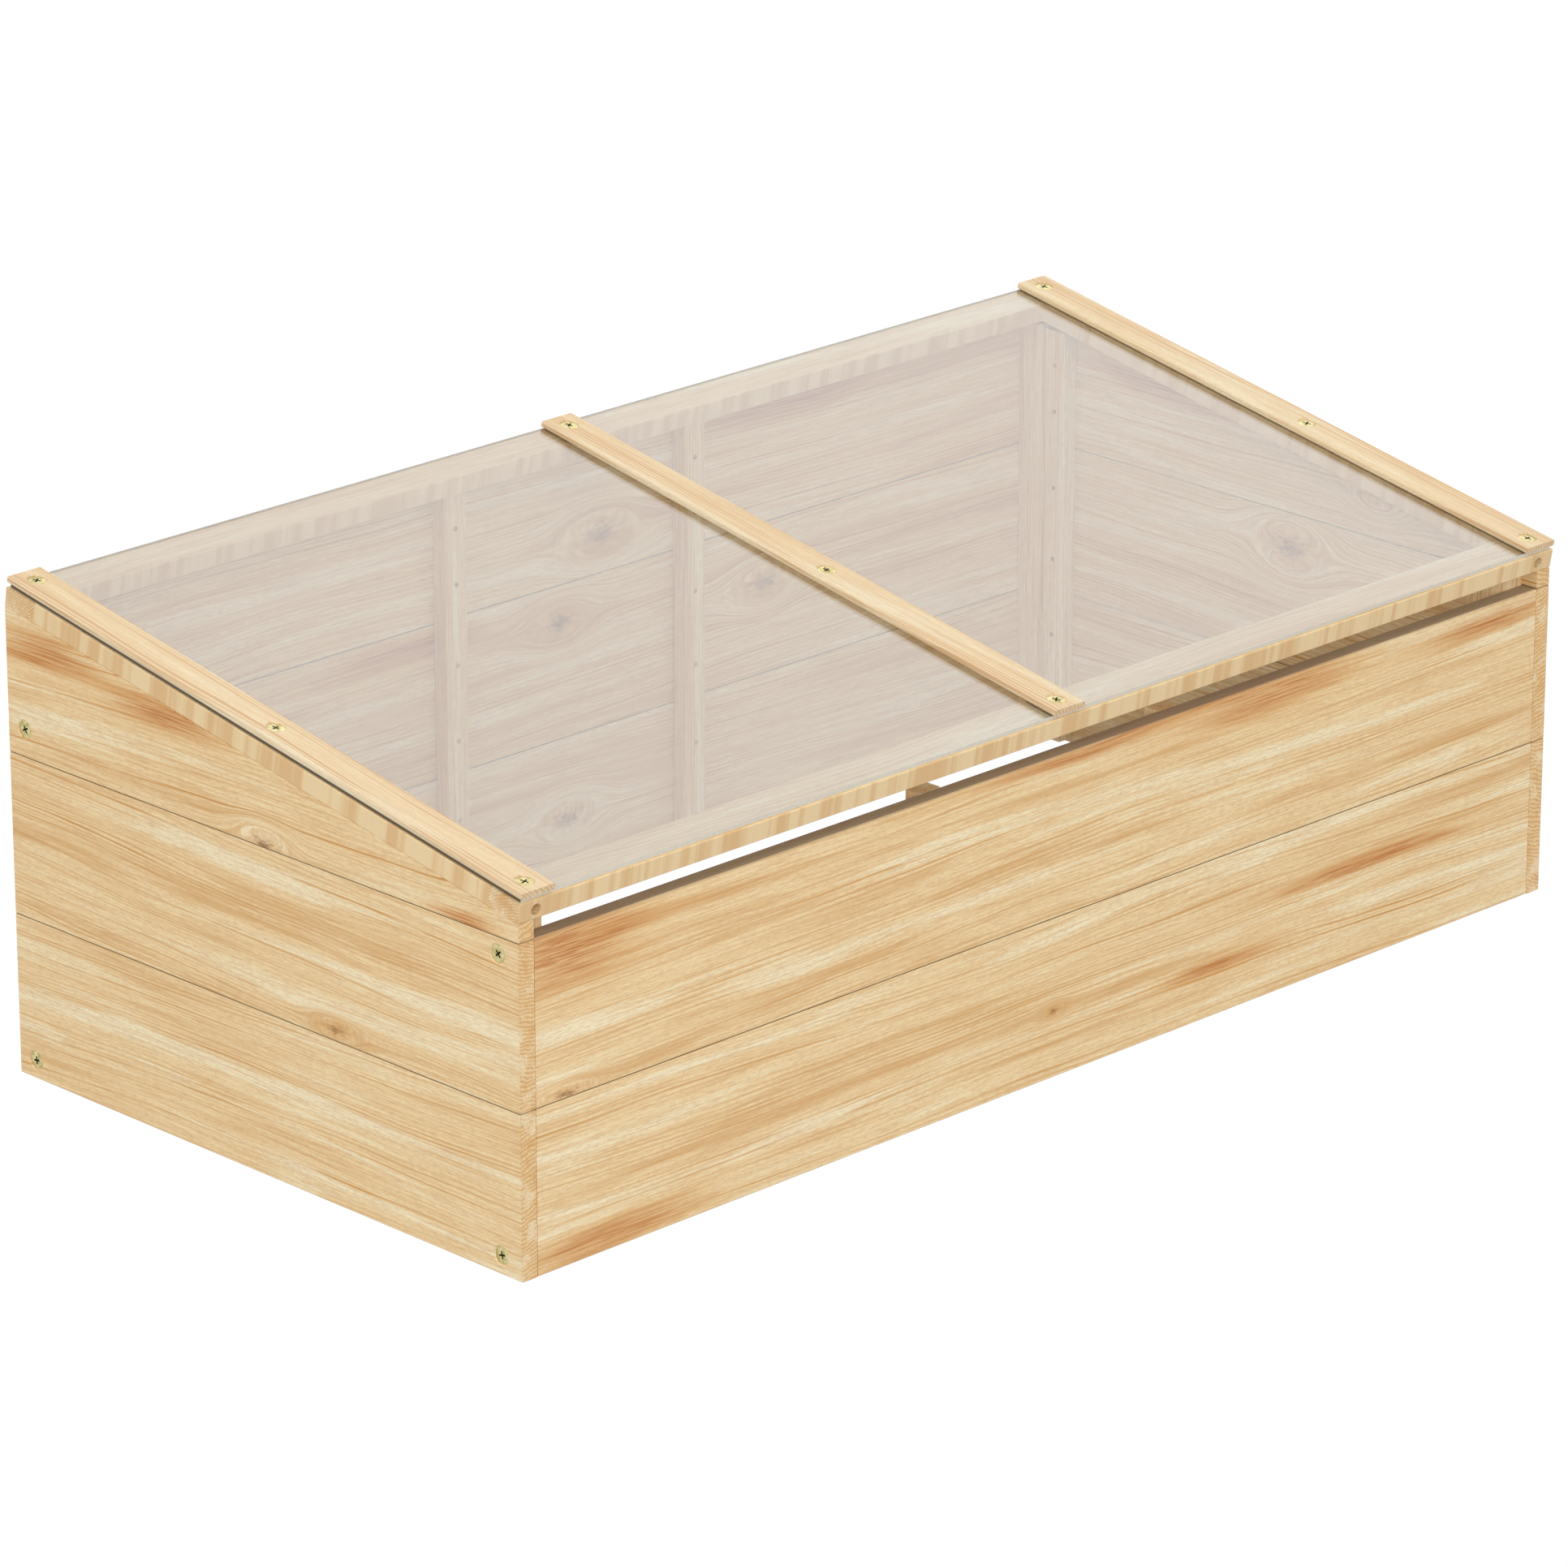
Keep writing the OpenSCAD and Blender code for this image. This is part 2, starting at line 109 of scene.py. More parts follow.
def start_material(name):
    """A new material with an empty node tree and its output."""
    material = bpy.data.materials.new(name)
    material.use_nodes = True
    tree = material.node_tree
    tree.nodes.clear()
    return material, tree, add(tree, "ShaderNodeOutputMaterial")


# ---------------------------------------------------------------- settings

class COLDFRAME_PG_settings(bpy.types.PropertyGroup):
    fir_pale: FloatVectorProperty(
        name="Pale fir", description="The wood between the growth rings",
        subtype="COLOR", default=linear("#f2d8a7"), min=0, max=1)
    fir_ring: FloatVectorProperty(
        name="Ring brown", description="The darker wood of a growth ring",
        subtype="COLOR", default=linear("#ce9347"), min=0, max=1)
    fir_cream: FloatVectorProperty(
        name="Cream streak", description="The palest streaks of sapwood",
        subtype="COLOR", default=linear("#f8ebc6"), min=0, max=1)
    fir_flush: FloatVectorProperty(
        name="Orange flush", description="Patches coloured by resin along a board's edge",
        subtype="COLOR", default=linear("#b96e2e"), min=0, max=1)
    fir_bleached: FloatVectorProperty(
        name="Pale strip", description="The quieter wood of the lid's strips and frame",
        subtype="COLOR", default=linear("#d9c7aa"), min=0, max=1)
    ring_gap: FloatProperty(
        name="Ring gap", description="Distance between two growth rings",
        unit="LENGTH", default=2.9 * MM, min=1 * MM, max=12 * MM)
    fibre: FloatProperty(
        name="Fibre width", description="Width of the finest streaks, drawn coarse enough to show",
        unit="LENGTH", default=1.2 * MM, min=0.3 * MM, max=4 * MM)
    cross_length: FloatProperty(
        name="Cross length", description="Length of the cross recess in a screw's head",
        unit="LENGTH", default=7.8 * MM, min=3 * MM, max=10 * MM)
    cross_width: FloatProperty(
        name="Cross width", description="Width of one wing of the cross recess",
        unit="LENGTH", default=1.7 * MM, min=0.8 * MM, max=3 * MM)
    cross_depth: FloatProperty(
        name="Cross depth", description="Depth of the cross recess",
        unit="LENGTH", default=2.4 * MM, min=0.5 * MM, max=4 * MM)
    leaf_edge: FloatProperty(
        name="Leaf edge", description="Rounding of the hinges' edges",
        unit="LENGTH", default=0.25 * MM, min=0.05 * MM, max=0.5 * MM)
    sheet_ior: FloatProperty(
        name="Sheet IOR", description="Refraction of the clear sheet",
        default=1.58, min=1.3, max=1.8)


# ---------------------------------------------------------------- materials

def planed_fir(name, along, across, pith, turn=0.0, drift=0.0, gap=1.0, rings=1.0, bleach=0.0,
               knots=(), flushes=(), edges=(), cross_face=None, lid_shade_face=None):
    """Planed fir: pale wood with tan growth rings that run along the piece, fine fibres, cream
    streaks, orange resin flushes and small knots, matt with a faint silky ridge. pith is the
    middle of the rings (across, through) in metres, and drift is its lean across the piece;
    knots and flushes are (along, across, half length, half width) in metres; edges are the
    places across the piece where it meets its neighbours, where a thin line of painted shade
    is drawn; cross_face is the axis whose faces show short bars across the piece, and the last
    argument is the axis whose upper face gets a painted grey-brown shade, standing in for the
    lid's shadow."""
    look = bpy.context.scene.cold_frame
    material, tree, output = start_material(name)
    through = 3 - along - across
    where = add(tree, "ShaderNodeTexCoord")
    turned = add(tree, "ShaderNodeMapping", {"Vector": where.outputs["Object"], "Rotation": (turn, 0, 0)})
    axes = add(tree, "ShaderNodeSeparateXYZ", {0: turned.outputs[0]})
    place = add(tree, "ShaderNodeCombineXYZ", {
        0: axes.outputs[along], 1: axes.outputs[across], 2: axes.outputs[through]}).outputs[0]
    facing = add(tree, "ShaderNodeSeparateXYZ", {0: where.outputs["Normal"]})

    # every piece is cut from another place in the tree
    own = add(tree, "ShaderNodeVectorMath", {0: place, 1: (17 * pith[0], 11 * pith[1], 5 * pith[0])},
              operation="ADD").outputs[0]

    # slow waves that make the rings wander along the piece
    wave_at = add(tree, "ShaderNodeVectorMath", {0: own, 1: repeats(WAVE_SIZE)}, operation="MULTIPLY")
    wave = add(tree, "ShaderNodeTexNoise", {"Vector": wave_at.outputs[0], "Scale": 1.0, "Detail": 2.0,
                                            "Roughness": 0.5})
    push = add(tree, "ShaderNodeVectorMath", {0: wave.outputs["Color"], 1: (0.5, 0.5, 0.5)},
               operation="SUBTRACT")
    push = add(tree, "ShaderNodeVectorMath", {0: push.outputs[0], 1: (0, 22 * MM, 22 * MM)},
               operation="MULTIPLY").outputs[0]

    # a knot pushes the fibres aside around it
    cores = []
    for long_at, cross_at, half_long, half_wide in knots:
        shift = add(tree, "ShaderNodeVectorMath", {0: place, 1: (long_at, cross_at, 0)},
                    operation="SUBTRACT")
        share = add(tree, "ShaderNodeVectorMath", {0: shift.outputs[0],
                                                   1: (1 / half_long, 1 / half_wide, 0)},
                    operation="MULTIPLY")
        away = add(tree, "ShaderNodeVectorMath", {0: share.outputs[0]}, operation="LENGTH")
        bulge = add(tree, "ShaderNodeMapRange", {0: away.outputs["Value"], 1: 0.0, 2: 6.0, 3: 1.0, 4: 0.0},
                    interpolation_type="SMOOTHERSTEP")
        aside = add(tree, "ShaderNodeVectorMath", {0: share.outputs[0], 1: (0, -1.6 * half_wide, 0)},
                    operation="MULTIPLY")
        aside = add(tree, "ShaderNodeVectorMath", {0: aside.outputs[0], "Scale": bulge.outputs[0]},
                    operation="SCALE")
        push = add(tree, "ShaderNodeVectorMath", {0: push, 1: aside.outputs[0]}, operation="ADD").outputs[0]
        cores.append(away.outputs["Value"])
    waved = add(tree, "ShaderNodeVectorMath", {0: place, 1: push}, operation="ADD").outputs[0]
    grown = add(tree, "ShaderNodeVectorMath", {0: own, 1: push}, operation="ADD").outputs[0]

    # rings around the pith
    apart = add(tree, "ShaderNodeSeparateXYZ", {0: waved})
    side = add(tree, "ShaderNodeMath", {0: apart.outputs[0], 1: drift, 2: -pith[0]},
               operation="MULTIPLY_ADD")
    side = add(tree, "ShaderNodeMath", {0: side.outputs[0], 1: apart.outputs[1]}, operation="ADD")
    off = add(tree, "ShaderNodeMath", {0: apart.outputs[2], 1: -pith[1]}, operation="ADD")
    reach = add(tree, "ShaderNodeCombineXYZ", {0: side.outputs[0], 1: off.outputs[0]})
    radius = add(tree, "ShaderNodeVectorMath", {0: reach.outputs[0]}, operation="LENGTH")
    turns = add(tree, "ShaderNodeMath", {0: radius.outputs["Value"], 1: look.ring_gap * gap},
                operation="DIVIDE").outputs[0]
    wobble_at = add(tree, "ShaderNodeVectorMath", {0: grown, 1: repeats(WOBBLE_SIZE)},
                    operation="MULTIPLY")
    wobble = add(tree, "ShaderNodeTexNoise", {"Vector": wobble_at.outputs[0], "Scale": 1.0,
                                              "Detail": 2.0})
    turns = add(tree, "ShaderNodeMath", {0: wobble.outputs[0], 1: 1.6, 2: turns},
                operation="MULTIPLY_ADD").outputs[0]

    # one ring: slow darkening, then a sharp edge; no two rings are equally dark, and the
    # strong ones come in groups
    part = add(tree, "ShaderNodeMath", {0: turns}, operation="FRACT").outputs[0]
    rise = add(tree, "ShaderNodeMapRange", {0: part, 1: 0.30, 2: 0.85}, interpolation_type="SMOOTHSTEP")
    fall = add(tree, "ShaderNodeMapRange", {0: part, 1: 0.85, 2: 1.0, 3: 1.0, 4: 0.0},
               interpolation_type="SMOOTHSTEP")
    band = add(tree, "ShaderNodeMath", {0: rise.outputs[0], 1: fall.outputs[0]}, operation="MULTIPLY")
    number = add(tree, "ShaderNodeMath", {0: turns}, operation="FLOOR")
    weight = add(tree, "ShaderNodeTexWhiteNoise", {"W": number.outputs[0]}, noise_dimensions="1D")
    weight = add(tree, "ShaderNodeMapRange", {0: weight.outputs[0], 3: 0.1, 4: 1.0})
    years = add(tree, "ShaderNodeMath", {0: turns, 1: 0.19}, operation="MULTIPLY")
    years = add(tree, "ShaderNodeTexNoise", {"W": years.outputs[0], "Scale": 1.0, "Detail": 2.0},
                noise_dimensions="1D")
    years = add(tree, "ShaderNodeMapRange", {0: years.outputs[0], 1: 0.35, 2: 0.65, 3: 0.15, 4: 1.3})
    fade_at = add(tree, "ShaderNodeVectorMath", {0: grown, 1: repeats(FADE_SIZE)}, operation="MULTIPLY")
    fade = add(tree, "ShaderNodeTexNoise", {"Vector": fade_at.outputs[0], "Scale": 1.0, "Detail": 2.0})
    fade = add(tree, "ShaderNodeMapRange", {0: fade.outputs[0], 1: 0.3, 2: 0.7, 3: 0.25, 4: 1.0})
    for share in (weight, years, fade):
        band = add(tree, "ShaderNodeMath", {0: band.outputs[0], 1: share.outputs[0]},
                   operation="MULTIPLY")
    band = band.outputs[0]
    ends = add(tree, "ShaderNodeMath", {0: facing.outputs[along]}, operation="ABSOLUTE")
    ends = add(tree, "ShaderNodeMapRange", {0: ends.outputs[0], 1: 0.6, 2: 0.9}).outputs[0]
    arcs = add(tree, "ShaderNodeMath", {0: rise.outputs[0], 1: fall.outputs[0]}, operation="MULTIPLY")
    arcs = add(tree, "ShaderNodeMath", {0: arcs.outputs[0], 1: 0.55}, operation="MULTIPLY")
    band = add(tree, "ShaderNodeMix", {"Factor": ends, "A": band, "B": arcs.outputs[0]}).outputs[0]
    if cross_face is not None:
        bars_at = add(tree, "ShaderNodeVectorMath", {0: own, 1: repeats(BAR_SIZE)},
                      operation="MULTIPLY")
        bars = add(tree, "ShaderNodeTexNoise", {"Vector": bars_at.outputs[0], "Scale": 1.0,
                                                "Detail": 3.0, "Roughness": 0.6})
        bars = add(tree, "ShaderNodeMapRange", {0: bars.outputs[0], 1: 0.42, 2: 0.62, 3: 0.0, 4: 0.42},
                   interpolation_type="SMOOTHSTEP")
        faces = add(tree, "ShaderNodeMath", {0: facing.outputs[cross_face]}, operation="ABSOLUTE")
        faces = add(tree, "ShaderNodeMath", {0: faces.outputs[0], 1: 0.7}, operation="GREATER_THAN")
        band = add(tree, "ShaderNodeMix", {"Factor": faces.outputs[0], "A": band,
                                           "B": bars.outputs[0]}).outputs[0]

    # fine fibres, 60 times as long as they are wide, short flecks and broad soft streaks
    fibre_at = add(tree, "ShaderNodeVectorMath", {
        0: grown, 1: (1 / (60 * look.fibre), 1 / look.fibre, 1 / look.fibre)}, operation="MULTIPLY")
    fibres = add(tree, "ShaderNodeTexNoise", {"Vector": fibre_at.outputs[0], "Scale": 1.0,
                                              "Detail": 4.0, "Roughness": 0.65}).outputs[0]
    fleck_at = add(tree, "ShaderNodeVectorMath", {
        0: grown, 1: (1 / (5 * look.fibre), 1 / look.fibre, 1 / look.fibre)}, operation="MULTIPLY")
    flecks = add(tree, "ShaderNodeTexNoise", {"Vector": fleck_at.outputs[0], "Scale": 1.0,
                                              "Detail": 2.0, "Roughness": 0.7}).outputs[0]
    streak_at = add(tree, "ShaderNodeVectorMath", {0: grown, 1: repeats(STREAK_SIZE)},
                    operation="MULTIPLY")
    streaks = add(tree, "ShaderNodeTexNoise", {"Vector": streak_at.outputs[0], "Scale": 1.0,
                                               "Detail": 4.0, "Roughness": 0.62}).outputs[0]

    if cross_face is not None:
        fibres, flecks, streaks = (
            add(tree, "ShaderNodeMix", {"Factor": faces.outputs[0], "A": kind, "B": 0.51}).outputs[0]
            for kind in (fibres, flecks, streaks))

    pale, ring = (*look.fir_pale, 1), (*look.fir_ring, 1)
    cream, flush = (*look.fir_cream, 1), (*look.fir_flush, 1)
    much = add(tree, "ShaderNodeMath", {0: band, 1: 1.35 * rings}, operation="MULTIPLY")
    colour = add(tree, "ShaderNodeMix", {"Factor": much.outputs[0], "A": pale, "B": ring},
                 data_type="RGBA").outputs["Result"]
    tan = add(tree, "ShaderNodeMapRange", {0: streaks, 1: 0.49, 2: 0.33, 3: 0.0, 4: 0.5},
              interpolation_type="SMOOTHSTEP")
    colour = add(tree, "ShaderNodeMix", {"Factor": tan.outputs[0], "A": colour, "B": ring},
                 data_type="RGBA").outputs["Result"]
    milky = add(tree, "ShaderNodeMapRange", {0: streaks, 1: 0.51, 2: 0.63, 3: 0.0, 4: 0.85},
                interpolation_type="SMOOTHSTEP")
    colour = add(tree, "ShaderNodeMix", {"Factor": milky.outputs[0], "A": colour, "B": cream},
                 data_type="RGBA").outputs["Result"]
    thread = add(tree, "ShaderNodeMapRange", {0: fibres, 1: 0.54, 2: 0.36, 3: 0.0, 4: 0.38})
    colour = add(tree, "ShaderNodeMix", {"Factor": thread.outputs[0], "A": colour, "B": ring},
                 data_type="RGBA").outputs["Result"]
    fleck = add(tree, "ShaderNodeMapRange", {0: flecks, 1: 0.56, 2: 0.36, 3: 0.0, 4: 0.30})
    colour = add(tree, "ShaderNodeMix", {"Factor": fleck.outputs[0], "A": colour,
                                         "B": (*linear("#c8976a"), 1)}, data_type="RGBA").outputs["Result"]
    resin = add(tree, "ShaderNodeMapRange", {0: fibres, 1: 0.40, 2: 0.58, 3: 1.0, 4: 0.2})
    for long_at, cross_at, half_long, half_wide in flushes:
        shift = add(tree, "ShaderNodeVectorMath", {0: waved, 1: (long_at, cross_at, 0)},
                    operation="SUBTRACT")
        share = add(tree, "ShaderNodeVectorMath", {0: shift.outputs[0],
                                                   1: (1 / half_long, 1 / half_wide, 0)},
                    operation="MULTIPLY")
        away = add(tree, "ShaderNodeVectorMath", {0: share.outputs[0]}, operation="LENGTH")
        ragged = add(tree, "ShaderNodeMath", {0: streaks, 1: 2.4, 2: away.outputs["Value"]},
                     operation="MULTIPLY_ADD")
        halo = add(tree, "ShaderNodeMapRange", {0: ragged.outputs[0], 1: 1.4, 2: 3.2, 3: 0.6, 4: 0.0},
                   interpolation_type="SMOOTHSTEP")
        colour = add(tree, "ShaderNodeMix", {"Factor": halo.outputs[0], "A": colour,
                                             "B": (*linear("#dba25a"), 1)},
                     data_type="RGBA").outputs["Result"]
        stain = add(tree, "ShaderNodeMapRange", {0: ragged.outputs[0], 1: 1.2, 2: 2.6, 3: 0.95, 4: 0.0},
                    interpolation_type="SMOOTHSTEP")
        stain = add(tree, "ShaderNodeMath", {0: stain.outputs[0], 1: resin.outputs[0]},
                    operation="MULTIPLY")
        colour = add(tree, "ShaderNodeMix", {"Factor": stain.outputs[0], "A": colour, "B": flush},
                     data_type="RGBA").outputs["Result"]
    for away in cores:
        ragged = add(tree, "ShaderNodeMath", {0: flecks, 1: 2.4, 2: away}, operation="MULTIPLY_ADD")
        halo = add(tree, "ShaderNodeMapRange", {0: ragged.outputs[0], 1: 1.6, 2: 4.2, 3: 0.45, 4: 0.0},
                   interpolation_type="SMOOTHSTEP")
        colour = add(tree, "ShaderNodeMix", {"Factor": halo.outputs[0], "A": colour, "B": ring},
                     data_type="RGBA").outputs["Result"]
        core = add(tree, "ShaderNodeMapRange", {0: ragged.outputs[0], 1: 1.0, 2: 2.6, 3: 0.75, 4: 0.0},
                   interpolation_type="SMOOTHSTEP")
        colour = add(tree, "ShaderNodeMix", {"Factor": core.outputs[0], "A": colour,
                                             "B": (*linear("#7d4c25"), 1)},
                     data_type="RGBA").outputs["Result"]

    # painted shade: a thin dark line where one board meets the next stands in for the shade in the seam
    for edge in edges:
        near = add(tree, "ShaderNodeMath", {0: axes.outputs[across], 1: -edge}, operation="ADD")
        near = add(tree, "ShaderNodeMath", {0: near.outputs[0]}, operation="ABSOLUTE")
        near = add(tree, "ShaderNodeMapRange", {0: near.outputs[0], 1: 0.3 * MM, 2: 0.55 * MM, 3: 0.75,
                                                4: 0.0})
        colour = add(tree, "ShaderNodeMix", {"Factor": near.outputs[0], "A": colour,
                                             "B": (*linear("#5b4630"), 1)},
                     data_type="RGBA").outputs["Result"]

    # sawn ends drink more light than planed faces
    sawn = add(tree, "ShaderNodeMath", {0: ends, 1: 0.15}, operation="MULTIPLY")
    colour = add(tree, "ShaderNodeMix", {"Factor": sawn.outputs[0], "A": colour, "B": ring},
                 data_type="RGBA").outputs["Result"]
    if bleach > 0:
        colour = add(tree, "ShaderNodeMix", {"Factor": bleach, "A": colour,
                                             "B": (*look.fir_bleached, 1)},
                     data_type="RGBA").outputs["Result"]
    # painted shade: the upper face along the given axis turns grey-brown, standing in for a shadow
    if lid_shade_face is not None:
        grey = add(tree, "ShaderNodeMapRange", {0: facing.outputs[lid_shade_face], 1: 0.5, 2: 0.9, 3: 0.0,
                                                4: 0.8})
        colour = add(tree, "ShaderNodeMix", {"Factor": grey.outputs[0], "A": colour,
                                             "B": (*linear("#93816c"), 1)},
                     data_type="RGBA").outputs["Result"]

    dull = add(tree, "ShaderNodeMapRange", {0: fibres, 1: 0.3, 2: 0.7, 3: 0.72, 4: 0.5})
    ridge = add(tree, "ShaderNodeMath", {0: fibres, 1: 0.7, 2: band}, operation="MULTIPLY_ADD")
    relief = add(tree, "ShaderNodeBump", {"Height": ridge.outputs[0], "Strength": 0.4,
                                          "Distance": 0.2 * MM})
    surface = add(tree, "ShaderNodeBsdfPrincipled", {
        "Base Color": colour, "Roughness": dull.outputs[0], "Normal": relief.outputs[0],
        "IOR": 1.5, "Specular IOR Level": 0.35})
    tree.links.new(surface.outputs[0], output.inputs[0])
    return material


def zinc_plate(name, hex_plate, hex_bright, rough):
    """Zinc plate, passivated: a thin yellow-green cast over bright steel, softly mottled and
    scuffed where a driver has turned it."""
    material, tree, output = start_material(name)
    where = add(tree, "ShaderNodeTexCoord")
    mottle = add(tree, "ShaderNodeTexNoise", {"Vector": where.outputs["Object"], "Scale": 1 / (3 * MM),
                                              "Detail": 3.0}).outputs[0]
    scuff = add(tree, "ShaderNodeTexNoise", {"Vector": where.outputs["Object"], "Scale": 1 / (0.6 * MM),
                                             "Detail": 2.0}).outputs[0]
    tint = add(tree, "ShaderNodeMapRange", {0: mottle, 1: 0.35, 2: 0.65})
    colour = add(tree, "ShaderNodeMix", {"Factor": tint.outputs[0], "A": (*linear(hex_plate), 1),
                                         "B": (*linear(hex_bright), 1)}, data_type="RGBA")
    dull = add(tree, "ShaderNodeMapRange", {0: scuff, 1: 0.3, 2: 0.7, 3: rough - 0.08, 4: rough + 0.12})
    relief = add(tree, "ShaderNodeBump", {"Height": scuff, "Strength": 0.15, "Distance": 0.05 * MM})
    surface = add(tree, "ShaderNodeBsdfPrincipled", {
        "Base Color": colour.outputs["Result"], "Roughness": dull.outputs[0],
        "Normal": relief.outputs[0], "Metallic": 1.0})
    tree.links.new(surface.outputs[0], output.inputs[0])
    return material


def recess_shadow(name):
    """Painted shade for steel deep in a recess or a bored hole: a mottled dark brown, dull, standing
    in for the shade that falls there."""
    material, tree, output = start_material(name)
    where = add(tree, "ShaderNodeTexCoord")
    painted_recess_shade = add(tree, "ShaderNodeTexNoise", {"Vector": where.outputs["Object"], "Scale": 1 / (0.8 * MM),
                                             "Detail": 3.0})
    colour = add(tree, "ShaderNodeMix", {"Factor": painted_recess_shade.outputs[0], "A": (*linear("#2c2416"), 1),
                                         "B": (*linear("#6d6344"), 1)}, data_type="RGBA")
    surface = add(tree, "ShaderNodeBsdfPrincipled", {
        "Base Color": colour.outputs["Result"], "Roughness": 0.6, "Metallic": 0.4})
    tree.links.new(surface.outputs[0], output.inputs[0])
    return material


def clear_sheet(name):
    """Extruded clear plastic glazing: it passes light, mirrors a bright sky at a low angle, and
    has a hardly visible haze of fine wiping marks."""
    look = bpy.context.scene.cold_frame
    material, tree, output = start_material(name)
    where = add(tree, "ShaderNodeTexCoord")
    haze = add(tree, "ShaderNodeTexNoise", {"Vector": where.outputs["Object"], "Scale": 1 / (60 * MM),
                                            "Detail": 5.0})
    dull = add(tree, "ShaderNodeMapRange", {0: haze.outputs[0], 1: 0.45, 2: 0.75, 3: 0.0, 4: 0.035})
    surface = add(tree, "ShaderNodeBsdfPrincipled", {
        "Base Color": (*linear("#fbfcfc"), 1), "Roughness": dull.outputs[0], "IOR": look.sheet_ior,
        "Transmission Weight": 1.0})
    tree.links.new(surface.outputs[0], output.inputs[0])
    return material


def sawn_edge(name):
    """The sawn edge of the plastic sheet: fine saw marks frost it to a pale grey, and the two edges
    that run under the strips get a painted dark shade, standing in for the strips' shadow."""
    material, tree, output = start_material(name)
    where = add(tree, "ShaderNodeTexCoord")
    marks = add(tree, "ShaderNodeTexNoise", {"Vector": where.outputs["Object"], "Scale": 1 / (1.5 * MM),
                                             "Detail": 3.0}).outputs[0]
    colour = add(tree, "ShaderNodeMix", {"Factor": marks, "A": (*linear("#c2beb2"), 1),
                                         "B": (*linear("#e9e4d8"), 1)}, data_type="RGBA")
    # painted shade: the edges that face along x, under the strips, are coloured dark
    facing = add(tree, "ShaderNodeSeparateXYZ", {0: where.outputs["Normal"]})
    strip_shade = add(tree, "ShaderNodeMath", {0: facing.outputs[0]}, operation="ABSOLUTE")
    colour = add(tree, "ShaderNodeMix", {"Factor": strip_shade.outputs[0], "A": colour.outputs["Result"],
                                         "B": (*linear("#5d5343"), 1)}, data_type="RGBA")
    relief = add(tree, "ShaderNodeBump", {"Height": marks, "Strength": 0.3, "Distance": 0.1 * MM})
    surface = add(tree, "ShaderNodeBsdfPrincipled", {
        "Base Color": colour.outputs["Result"], "Roughness": 0.55, "Normal": relief.outputs[0],
        "IOR": 1.5})
    tree.links.new(surface.outputs[0], output.inputs[0])
    return material


def finish_nodes(material, *names):
    """Gives CAD nodes their finish."""
    for name in names:
        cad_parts[name].data.materials.clear()
        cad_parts[name].data.materials.append(material)


# ---------------------------------------------------------------- modelling helpers

def deselect():
    bpy.ops.object.select_all(action="DESELECT")


def only(piece):
    """Makes piece the one selected and active object."""
    deselect()
    piece.select_set(True)
    bpy.context.view_layer.objects.active = piece


def pick_faces(piece, test):
    """Selects, in edit mode, the faces whose middle and normal pass test."""
    bpy.ops.object.mode_set(mode="EDIT")
    bpy.ops.mesh.select_mode(type="FACE")
    bpy.ops.mesh.select_all(action="DESELECT")
    bpy.ops.object.mode_set(mode="OBJECT")
    for face in piece.data.polygons:
        face.select = test(face.center, face.normal)
    bpy.ops.object.mode_set(mode="EDIT")


def apply_modifier(piece, name, kind, **settings):
    """Adds a modifier to piece and applies it."""
    only(piece)
    modifier = piece.modifiers.new(name, kind)
    for key, value in settings.items():
        setattr(modifier, key, value)
    bpy.ops.object.modifier_apply(modifier=name)


def node_copy(node, name, whole_faces=True):
    """A merged copy of a CAD node's mesh as a new object at the origin; whole_faces joins the
    triangles of each flat face."""
    piece = bpy.data.objects.new(name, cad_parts[node].data.copy())
    bpy.context.scene.collection.objects.link(piece)
    only(piece)
    bpy.ops.object.mode_set(mode="EDIT")
    bpy.ops.mesh.select_all(action="SELECT")
    bpy.ops.mesh.remove_doubles(threshold=0.002 * MM)
    if whole_faces:
        bpy.ops.mesh.dissolve_limited(angle_limit=math.radians(1))
    bpy.ops.object.mode_set(mode="OBJECT")
    return piece


def bunches(points, axis):
    """Points in bunches that lie further apart along an axis than one screw is wide."""
    points = sorted(points, key=lambda p: p[axis])
    found = [[points[0]]]
    for before, point in zip(points, points[1:]):
        if point[axis] - before[axis] > SCREWS_APART:
            found.append([])
        found[-1].append(point)
    return found


def head_middle(points, outward):
    """The middle of a screw head's top, from the screw's vertices."""
    top = max(p.dot(outward) for p in points)
    rim = [p for p in points if p.dot(outward) > top - 0.05 * MM]
    low = Vector([min(p[i] for p in rim) for i in range(3)])
    high = Vector([max(p[i] for p in rim) for i in range(3)])
    return (low + high) / 2


